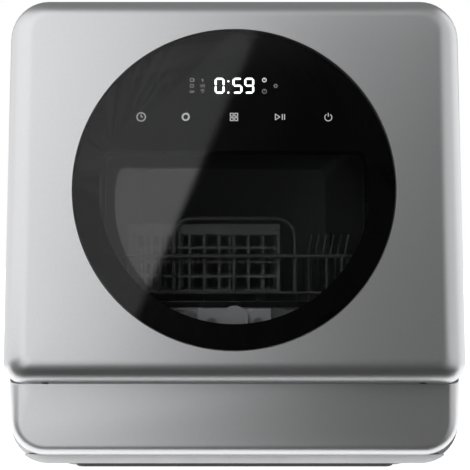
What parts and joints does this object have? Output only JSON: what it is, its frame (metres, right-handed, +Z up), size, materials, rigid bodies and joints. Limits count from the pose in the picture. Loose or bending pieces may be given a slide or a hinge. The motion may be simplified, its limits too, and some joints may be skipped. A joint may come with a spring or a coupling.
{
  "type": "countertop dishwasher",
  "caption": "Compact countertop dishwasher with a leaning drop-down door, round glass window, sliding wire rack and own water tank.",
  "frame": {"origin": "on the counter under the middle of the case's width and depth", "axes": "+Z up, +Y to the rear, +X to the right seen from the front"},
  "size_m": [0.42, 0.435, 0.4359],
  "materials": {
    "silver_paint": "metallic silver paint",
    "case_paint": "metallic silver paint on sheet steel",
    "rear_steel": "satin galvanised sheet",
    "pan_plastic": "light grey moulded plastic",
    "dark_plastic": "dark grey moulded plastic",
    "rubber": "black moulded rubber",
    "steel": "brushed stainless steel",
    "bracket_steel": "zinc plated steel",
    "black_glass": "tinted polished glass",
    "clear_glass": "clear polished glass",
    "black_print": "black print on glass",
    "black_plastic": "black glossy plastic",
    "board": "green circuit board",
    "contact": "bright spring metal",
    "wire_coat": "grey nylon coated wire",
    "basket_plastic": "light grey moulded plastic",
    "motor_plastic": "grey moulded plastic",
    "white_plastic": "white moulded plastic",
    "tank_plastic": "milky polypropylene",
    "lever_plastic": "orange moulded plastic"
  },
  "bodies": {
    "root": {"outer_wrap": "case_paint", "base_pan": "pan_plastic", "lower_front_panel": "silver_paint", "rear_panel": "rear_steel", "plinth": "dark_plastic", "foot_stems": "pan_plastic", "rubber_feet": "rubber", "case_screws": "bracket_steel", "tub": "steel", "tub_seal": "rubber", "rack_rails": "steel", "sump": "dark_plastic", "filter_plate": "steel", "spray_hub": "dark_plastic", "wash_pump": "motor_plastic", "drain_pump": "motor_plastic", "heater": "steel", "inner_pipes": "motor_plastic", "inlet_valve": "white_plastic", "drain_outlet": "dark_plastic", "cable_gland": "rubber", "water_tank": "tank_plastic", "fill_port": "dark_plastic", "control_box": "basket_plastic", "main_board": "board", "blower_housing": "dark_plastic", "air_duct": "dark_plastic", "hinge_brackets": "bracket_steel", "door_lock_body": "motor_plastic", "fill_lid_pin": "bracket_steel"},
    "door": {"door_shell": "silver_paint", "door_frame": "bracket_steel", "hinge_bushes": "white_plastic", "door_glass": "black_glass", "glass_print": "black_print", "door_seals": "rubber", "door_liner": "steel", "inner_pane": "clear_glass", "display_board": "board", "display_module": "black_plastic", "touch_springs": "contact", "dispenser_body": "basket_plastic", "dispenser_screws": "bracket_steel", "door_striker": "steel"},
    "dispenser_slide": {"dispenser_lid": "basket_plastic"},
    "rack": {"rack_frame": "wire_coat", "rack_sides": "wire_coat", "rack_floor": "wire_coat", "rack_handle": "wire_coat", "rack_glides": "dark_plastic", "plate_tines": "wire_coat"},
    "basket": {"cutlery_basket": "basket_plastic", "basket_dividers": "basket_plastic"},
    "spray": {"spray_arm": "steel", "arm_cap": "dark_plastic"},
    "filter": {"filter_cup": "motor_plastic"},
    "impeller": {"pump_impeller": "white_plastic"},
    "fan": {"fan_wheel": "white_plastic"},
    "flap": {"fill_lid": "silver_paint"},
    "lever": {"lock_lever": "lever_plastic"}
  },
  "joints": [
    {"name": "door_hinge", "type": "hinge", "parent": "root", "child": "door", "pos_m": [0, -0.1925, 0.108], "axis": [1, 0, 0], "range_deg": [0, 94.2]},
    {"name": "rack_slide", "type": "slide", "parent": "root", "child": "rack", "axis": [0, -1, 0], "range_m": [0, 0.1225]},
    {"name": "basket_lift", "type": "slide", "parent": "rack", "child": "basket", "axis": [0, 0, 1], "range_m": [0, 0.06]},
    {"name": "spray_arm_spin", "type": "hinge", "parent": "root", "child": "spray", "pos_m": [0, 0, 0.13], "axis": [0, 0, 1], "continuous": true},
    {"name": "filter_twist", "type": "hinge", "parent": "root", "child": "filter", "pos_m": [0.072, -0.072, 0.11], "axis": [0, 0, 1], "range_deg": [0, 60]},
    {"name": "pump_spin", "type": "hinge", "parent": "root", "child": "impeller", "pos_m": [0, 0.07, 0.0445], "axis": [1, 0, 0], "continuous": true},
    {"name": "fan_spin", "type": "hinge", "parent": "root", "child": "fan", "pos_m": [0.15, 0.11, 0.216], "axis": [1, 0, 0], "continuous": true},
    {"name": "dispenser_lid_slide", "type": "slide", "parent": "door", "child": "dispenser_slide", "axis": [1, 0, 0], "range_m": [0, 0.046]},
    {"name": "fill_flap_hinge", "type": "hinge", "parent": "root", "child": "flap", "pos_m": [-0.115, -0.0155, 0.42999], "axis": [-1, 0, 0], "range_deg": [0, 100]},
    {"name": "lock_lever_pivot", "type": "hinge", "parent": "root", "child": "lever", "pos_m": [0, -0.11606, 0.41162], "axis": [1, 0, 0], "range_deg": [0, 15], "stiffness_Nm_per_rad": 0.01, "springref_deg": -5.73}
  ],
  "couplings": [
    {"joint": "rack_slide", "follows": "door_hinge", "m_per_rad": 0.074485}
  ]
}
